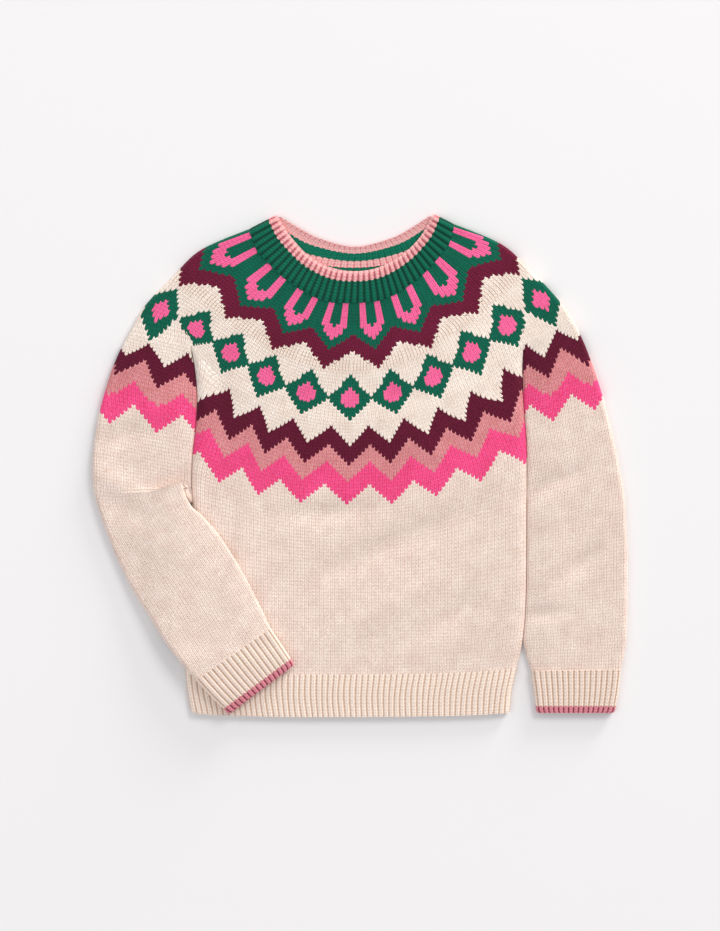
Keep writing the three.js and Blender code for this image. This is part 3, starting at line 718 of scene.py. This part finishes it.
def drape(x, y, reach=DRAPE_REACH):
    """Height at which the bent sleeve lies: on the table outside, on the body inside."""
    inside = x - edge_at(-1, max(y, -190))
    height = LIE + DRAPE_GAP + HEM_RELIEF * smooth((-168 - y) / 22) - HEM_DROOP * smooth((-214 - y) / 30)
    return height * smooth((inside + reach) / (reach - DRAPE_EDGE))


def fullness(x, y):
    """The air in the sleeve evens out the step that it lies on."""
    return drape(x, y, FULL_REACH) - drape(x, y)


def ring_stations(top_count, under_count, round_count=7):
    """Round the tube from the body's side over the top: side, angle in degrees, or a share across."""
    stations = [("in", 90 * k / round_count, 1) for k in range(round_count)]
    stations += [("across", k / top_count, 1) for k in range(top_count + 1)]
    stations += [("out", 90 - 90 * k / round_count, 1) for k in range(1, round_count + 1)]
    stations += [("out", 90 * k / round_count, 0) for k in range(1, round_count)]
    stations += [("across", 1 - k / under_count, 0) for k in range(under_count + 1)]
    stations += [("in", 90 - 90 * k / round_count, 0) for k in range(1, round_count + 1)]
    return stations


def elbow_fold(place):
    """The bent sleeve is tucked under at its inner side, turns back and comes up over itself.
    Gives that shift in plan, and how far the cloth is lifted onto the body."""
    turn = (place - ELBOW) / ELBOW_TURN
    tuck = smooth((place - ELBOW + 0.8) / 0.8) * (1 - smooth(turn * 1.15))
    lip = smooth(turn * 1.15) * (1 - smooth((turn - 1) * ELBOW_TURN / (1 - ELBOW_TURN)))
    lifted = 0.3 * smooth(turn / 0.35) + 0.7 * smooth((turn - 0.7) / 0.3)
    return np.array([-6.0 * lip, 5.2 * lip - 14.0 * tuck]), lifted


def ring_row(inner, outer, stations, closed, lift, dip, thick, counts, wave=None, shift=(0, 0), dip_width=15.0,
             full=0.0):
    """One ring of a sleeve or cuff. counts gives chart and stitch places at a share across."""
    width = float(np.hypot(*(outer - inner)))
    edge = TUBE_RADIUS / width
    row = []
    for side, value, top in stations:
        if side == "across":
            share, level = mix(edge, 1 - edge, value), float(top)
        else:
            turned = math.radians(value)
            inset = 1 - math.cos(turned)
            rise = math.sin(turned)
            if side == "in":
                inset = mix(value / 90, inset, closed)
                rise = mix(1, rise, closed)
            share = inset * edge if side == "in" else 1 - inset * edge
            level = 0.5 + 0.5 * rise * (1 if top else -1)
        x, y = mix(inner, outer, share) + np.array(shift) * smooth(1 - share * width / ELBOW_REACH) * smooth(2 * level)
        base = lift(x, y)
        lower = dip * math.exp(-(share * width / dip_width) ** 2)
        filled = full * fullness(x, y) if full else 0.0
        z = base + (thick + fold_height(x, y) + filled - lower) * level
        chart_place = counts(share, top)
        if wave is not None:
            z += wave(chart_place[2]) * (1 if top else -1) * min(1.0, abs(2 * level - 1))
        row.append((x, y, z, *chart_place))
    return row


def sleeve_rows(table, side, bent, steps, stations):
    outer_line = [row[1:3] for row in table]
    inner_line = []
    for k, row in enumerate(table):
        if k <= FOLD_START:
            inner_line.append(tuple(body_edge(side, k)))
        elif row[3] is None:
            inner_line.append((edge_at(side, row[4]), row[4]))
        else:
            inner_line.append(row[3:5])
    counts_table = np.array([row[5:10] for row in table], float)
    free = next(k for k, row in enumerate(table) if row[3] is not None)
    last = len(table) - 1
    rows, walked, before = [], 0.0, None
    places = [k / steps for k in range(last * steps + 1)]
    if bent:
        places = sorted(places + [ELBOW + ELBOW_TURN * k / 18 for k in range(1, 18)])
    for place in places:
        outer = spline(outer_line, place)
        inner = body_edge(side, place) if place <= FOLD_START else spline(inner_line, place)
        if FOLD_START < place < free:
            leaves = smooth(place - (free - 1))
            inner[0] = mix(edge_at(side, inner[1]), inner[0], leaves)
        away = (outer - inner) / np.hypot(*(outer - inner))
        inner = inner + away * gap_at(place)
        shift, lifted = elbow_fold(place) if bent else ((0, 0), 0.0)
        dent = smooth((place - ELBOW + 2) / 2) * (1 - lifted) if bent else 0.0
        closed = smooth((place - FOLD_START) / 0.5)
        course_in, course_out, repeat_in, repeat_out, repeat_under = spline(counts_table, place)
        width = float(np.hypot(*(outer - inner)))

        hidden = HIDDEN_COURSES * smooth((place - ELBOW) / ELBOW_TURN) if bent else 0.0
        gather = mix(3, 1, smooth((place - ELBOW - 0.5) / 5.5))

        def counts(share, top):
            course = mix(course_in, course_out, share) + hidden * (1 - share) ** gather
            far = repeat_in if top else repeat_under
            repeat = mix(far, repeat_out, share)
            wale = (share - 0.5) * width / SLEEVE_STITCH
            below = max(0.0, course - DIAMOND_CENTRE) / (INCREASE_ROUND - DIAMOND_CENTRE)
            above = UPPER_FAN * max(0, DIAMOND_CENTRE - course)
            by_diamonds = repeat * (1 + above) - (0.36 + 0.28 * share) * below
            return side * repeat, course, side * wale, course, side * by_diamonds

        rows.append(ring_row(
            inner, outer, stations, closed, lambda x, y: lifted * drape(x, y),
            SLEEVE_DIP * smooth(place - FOLD_START) + ELBOW_DENT * dent, LIE, counts,
            shift=shift, dip_width=DIP_WIDTH * (1 + dent), full=lifted,
        ))
    return rows


sleeve_stations = ring_stations(44, 30)
bent_rows = sleeve_rows(BENT_SLEEVE, -1, True, 12, sleeve_stations)
right_sleeve = knitted_shell("right_sleeve_knit", flipped(bent_rows), KNIT_WALL, yoke_knit)
straight_rows = sleeve_rows(STRAIGHT_SLEEVE, 1, False, 12, sleeve_stations)
left_sleeve = knitted_shell("left_sleeve_knit", straight_rows, KNIT_WALL, yoke_knit)

# %% [markdown]
# Ribs alternate a raised and a sunk column, so their cloth is a wavy sheet. The waves are real
# geometry here; each ridge is a single column of V stitches, and the yarn in the hollows is painted
# darker as shade.

# %% Rib materials


def rib_material(name, ground, groove, edge, edge_groove, edge_start, edge_end, relief=0.5, stripe=None,
                 flank=(0.24, 0.46), rim=2.0):
    """Rib knit: UV x counts ribs with the ridges at whole numbers, chart y is a share of the depth."""
    material, tree = new_material(name)
    chart = add(tree, "SeparateXYZ", add(tree, "UVMap", uv_map="chart"))
    count = add(tree, "SeparateXYZ", add(tree, "UVMap", uv_map="stitch"))
    ribs, row = count.outputs[0], count.outputs[1]
    wale = math_node(tree, "MULTIPLY_ADD", ribs, 1.0, 0.5)
    _, aside, _, height = stitch_height(tree, wale, row)
    ridge = add(tree, "MapRange", aside, flank[0], flank[1], 1.0, 0.0)
    in_rim = add(tree, "MapRange", chart.outputs[1], rim - 0.05, rim, 0.0, 0.85)
    ridge = math_node(tree, "MAXIMUM", ridge, in_rim)
    # Painted shade: the darker colour of each pair fills the hollows between the ribs
    plain = add(tree, "MixRGB", ridge, linear(groove), linear(ground))
    tipped = add(tree, "MixRGB", ridge, linear(edge_groove), linear(edge))
    depth = math_node(tree, "MULTIPLY_ADD", aside, -0.09, chart.outputs[1])
    in_edge = math_node(tree, "MULTIPLY", math_node(tree, "GREATER_THAN", depth, edge_start),
                        math_node(tree, "LESS_THAN", depth, edge_end))
    if stripe is not None:
        in_stripe = math_node(tree, "MULTIPLY", math_node(tree, "GREATER_THAN", depth, stripe[0]),
                              math_node(tree, "LESS_THAN", depth, stripe[1]))
        in_edge = math_node(tree, "MAXIMUM", in_edge, in_stripe)
    colour = add(tree, "MixRGB", in_edge, plain, tipped)
    fleck = marl(tree, [1, 1, 1, 1], linear("#f4eeea"), 900, 0.12)
    colour = add(tree, "MixRGB", 1.0, colour, fleck, blend_type="MULTIPLY")
    # Painted shade in the hollows between stitches, and a little painted light on the legs
    painted_hollow_shade = add(tree, "MapRange", height, 0.0, 0.8, 0.76, 1.04)
    colour = add(tree, "MixRGB", 1.0, colour, painted_hollow_shade, blend_type="MULTIPLY")
    yarn_finish(tree, colour, height, relief)
    return material


# Ground, groove, tip and tip groove colours: the groove colours are painted shade in the hollows. The lining is the far
# side of the wave, so there its ground and tip colours are the painted shade.
cream_rib = rib_material("cream_wool_rib", "#fdecdf", "#e9cbb5", "#e38f9c", "#9a4a5e", 2.0, 3.0, relief=0.8)
tipped_rib = rib_material("cream_rib_rose_tip", "#f7e5d9", "#dcbda6", "#e2909d", "#93394f", 0.78, 2.0, relief=0.8)
neck_rib = rib_material("green_rib_pink_edge", "#046e55", "#004b39", "#f9bcbb", "#cf7580", 0.66, 1.01,
                        relief=0.8, flank=(0.08, 0.4), rim=0.93)
neck_lining = rib_material("green_rib_lining", "#005743", "#04745a", "#c56c79", "#f7bcbb", 0.73, 1.01,
                           relief=0.8, stripe=(0.27, 0.48), flank=(0.25, 0.4))

# %% Hems
RIB_PITCH = 5.5
RIB_RISE = 0.75
CORNER = 1.3


def rib_wave(ribs):
    return RIB_RISE * (0.5 + 0.5 * math.cos(2 * math.pi * ribs))


def wander(ribs, depth):
    """Hand-pulled ribs lean a little to one side and back."""
    return 0.45 * math.sin(0.8 * ribs + 3 * depth) * math.sin(0.21 * ribs + 1.3 + 2 * depth)


def corner(depth):
    """How far the side is drawn in at the rounded corner of an open edge."""
    return CORNER * (1 - math.sqrt(max(0.0, 1 - smooth((depth - 0.88) / 0.12) ** 2)))


def hem_row(place, first_width, front_side, per_rib=8):
    line = body_curve(place)
    width = by_length(line, [0])[1]
    ribs = round(first_width / RIB_PITCH)
    depth = (place - HEM_SEAM) / (HEM_EDGE - HEM_SEAM)
    gap = (FOLD_GAP / 2 + corner(depth)) / width
    shares = [mix(gap, 1 - gap, k / (ribs * per_rib)) for k in range(ribs * per_rib + 1)]
    spots, _ = by_length(line, shares)
    row = []
    for (x, y, _), share in zip(spots, shares):
        rib = share * ribs + 0.5
        side = min(share, 1 - share) * width
        wave = rib_wave(rib) * smooth(side / 3)
        if front_side:
            z = rolled_top(front_top(x, y), side, 1.0) + wave
        else:
            z = RIB_RISE * 0.7 - wave * 0.7
        x += wander(rib, depth) * smooth(side / 8) * smooth(depth * 4)
        row.append((x, y, z, share, depth, rib, (place - HEM_SEAM) * 21 / COURSE))
    return row


hem_width = by_length(body_curve(HEM_SEAM), [0])[1]
hem_places = [mix(HEM_SEAM + SEAM_GAP / 21, HEM_EDGE, k / 14) for k in range(15)]
front_hem = knitted_shell("front_hem_rib", [hem_row(p, hem_width, True) for p in hem_places], 2.0, cream_rib)
back_hem = knitted_shell("back_hem_rib", flipped([hem_row(p, hem_width, False) for p in hem_places]), 2.0, cream_rib)

# %% Cuffs


def cuff_rows(table, lift, per_rib=8, steps=14):
    outer_line, inner_line = [row[1:3] for row in table], [row[3:5] for row in table]
    seam_width = float(np.hypot(*(np.array(outer_line[0]) - np.array(inner_line[0]))))
    ribs = round(seam_width / RIB_PITCH)
    stations = ring_stations(ribs * per_rib, ribs * 4)
    length = by_length(dense(outer_line), [0])[1]
    rows = []
    for step in range(steps + 1):
        depth = mix(SEAM_GAP / length, 1.0, step / steps)
        inner, outer = spline(inner_line, depth * 2), spline(outer_line, depth * 2)
        across = (outer - inner) / np.hypot(*(outer - inner))
        inner, outer = inner + across * (FOLD_GAP / 2 + corner(depth)), outer - across * corner(depth)

        def counts(share, top):
            return share, depth, share * ribs, depth * length / COURSE

        rows.append(ring_row(
            inner, outer, stations, 1.0, lift, 0.0, LIE - HEM_DROOP * depth - RIB_RISE * 0.3, counts, rib_wave,
        ))
    return rows


right_cuff = knitted_shell("right_cuff_rib", flipped(cuff_rows(BENT_CUFF, drape)), 1.8, tipped_rib)
left_cuff = knitted_shell("left_cuff_rib", cuff_rows(STRAIGHT_CUFF, lambda x, y: 0.9), 1.8, tipped_rib)

# %% [markdown]
# The neckband is knitted double and turned in, so it is twice as thick as the rest and stands a
# little proud. It runs as one ring: across the front, over the shoulder tip, along the back.

# %% Neckband
BAND_WALL = 3.6
BAND_FRONT_FOOT = 4.9
BAND_TURN = (BAND_FRONT_FOOT + 3.9) / 2
FRONT_RIBS = 38
BACK_RIBS = 32
BAND_WAVE = 1.2


def band_bases():
    front_line = body_curve(0)[:, :2]
    back_line = dense(BACK_NECK)
    left, right = np.array(BENT_SLEEVE[0][1:3]), np.array(STRAIGHT_SLEEVE[0][1:3])
    return {
        "front": np.vstack([left, front_line, right]),
        "back": np.vstack([left, back_line, right]),
    }


def band_columns(per_rib=8):
    """Columns round the ring: base point, top point, height, turn towards the fold, rib count."""
    bases, tops = band_bases(), {"front": dense(BAND_FRONT_TOP), "back": dense(BAND_BACK_TOP)}
    columns = []
    total = 0.0

    def flat(layer, ribs, forward):
        nonlocal total
        base_length, top_length = by_length(bases[layer], [0])[1], by_length(tops[layer], [0])[1]
        for k in range(ribs * per_rib + 1):
            t = k / (ribs * per_rib)
            t = t if forward else 1 - t
            base = by_length(bases[layer], [mix(BAND_TURN / base_length, 1 - BAND_TURN / base_length, t)])[0][0]
            top = by_length(tops[layer], [mix(BAND_TURN / top_length, 1 - BAND_TURN / top_length, t)])[0][0]
            columns.append((base, top, layer, 0.0, total + k / per_rib))
        total += ribs

    def fold(end):
        nonlocal total
        base, top = bases["front"][end], tops["front"][end]
        for k in range(1, 12):
            angle = 180 * k / 12 if end == -1 else 180 - 180 * k / 12
            columns.append((base, top, "fold", angle, total + 2 * k / 12))
        total += 2

    flat("front", FRONT_RIBS, True)
    fold(-1)
    flat("back", BACK_RIBS, False)
    fold(0)
    columns.append((*columns[0][:4], total))
    return columns


def band_rows(rows_across=16):
    rows = []
    for i in range(rows_across + 1):
        share = i / rows_across
        row = []
        for base, top, layer, angle, rib in band_columns():
            line = (top - base) / np.hypot(*(top - base))
            start = base + line * SEAM_GAP
            x, y = mix(start, top, share)
            rim = smooth((share - 0.86) / 0.14)
            wave = BAND_WAVE * (0.5 + 0.5 * math.cos(2 * math.pi * rib)) * (1 - 0.7 * rim)
            curl = 1.3 * rim + 0.9 * smooth((0.14 - share) / 0.14)
            if layer == "front":
                z = BAND_FRONT_FOOT + BAND_WALL + wave - curl
            elif layer == "back":
                z = BAND_WAVE - wave + curl * 0.5
            else:
                out = np.array([-line[1], line[0]])
                out = out if out[1] > 0 else -out
                turned = math.radians(angle)
                radius = BAND_TURN - curl * 0.5
                x, y = np.array([x, y]) + out * (radius * math.sin(turned) - BAND_TURN)
                z = BAND_TURN + radius * math.cos(turned)
            length = float(np.hypot(*(top - base)))
            row.append((x, y, z, rib, share, rib, share * length / COURSE))
        rows.append(row)
    return rows


neckband = knitted_shell("neckband_rib", flipped(band_rows()), BAND_WALL, neck_rib, neck_lining)

# %% [markdown]
# Each shell rides on the one body and stands for its solid, which is hidden.

# %% What each piece is
PIECES = [
    (front, "front", "cream_knit", (0.331, 0.412), None, ["back"]),
    (back, "back", "cream_knit", (0.331, 0.406), None, []),
    (right_sleeve, "right_sleeve", "cream_knit", (0.19, 0.46), None, ["front", "front_hem"]),
    (left_sleeve, "left_sleeve", "cream_knit", (0.19, 0.45), None, []),
    (front_hem, "front_hem", "cream_rib", (0.32, 0.042), None, ["back_hem"]),
    (back_hem, "back_hem", "cream_rib", (0.32, 0.042), None, []),
    (right_cuff, "right_cuff", "cream_rib", (0.17, 0.045), None, ["front_hem"]),
    (left_cuff, "left_cuff", "cream_rib", (0.17, 0.042), None, []),
    (neckband, "neckband", "green_rib", (0.46, 0.032), None, ["back"]),
]
for piece, node, slot, flat, area, rests_on in PIECES:
    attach(piece, "root")
    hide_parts(node)
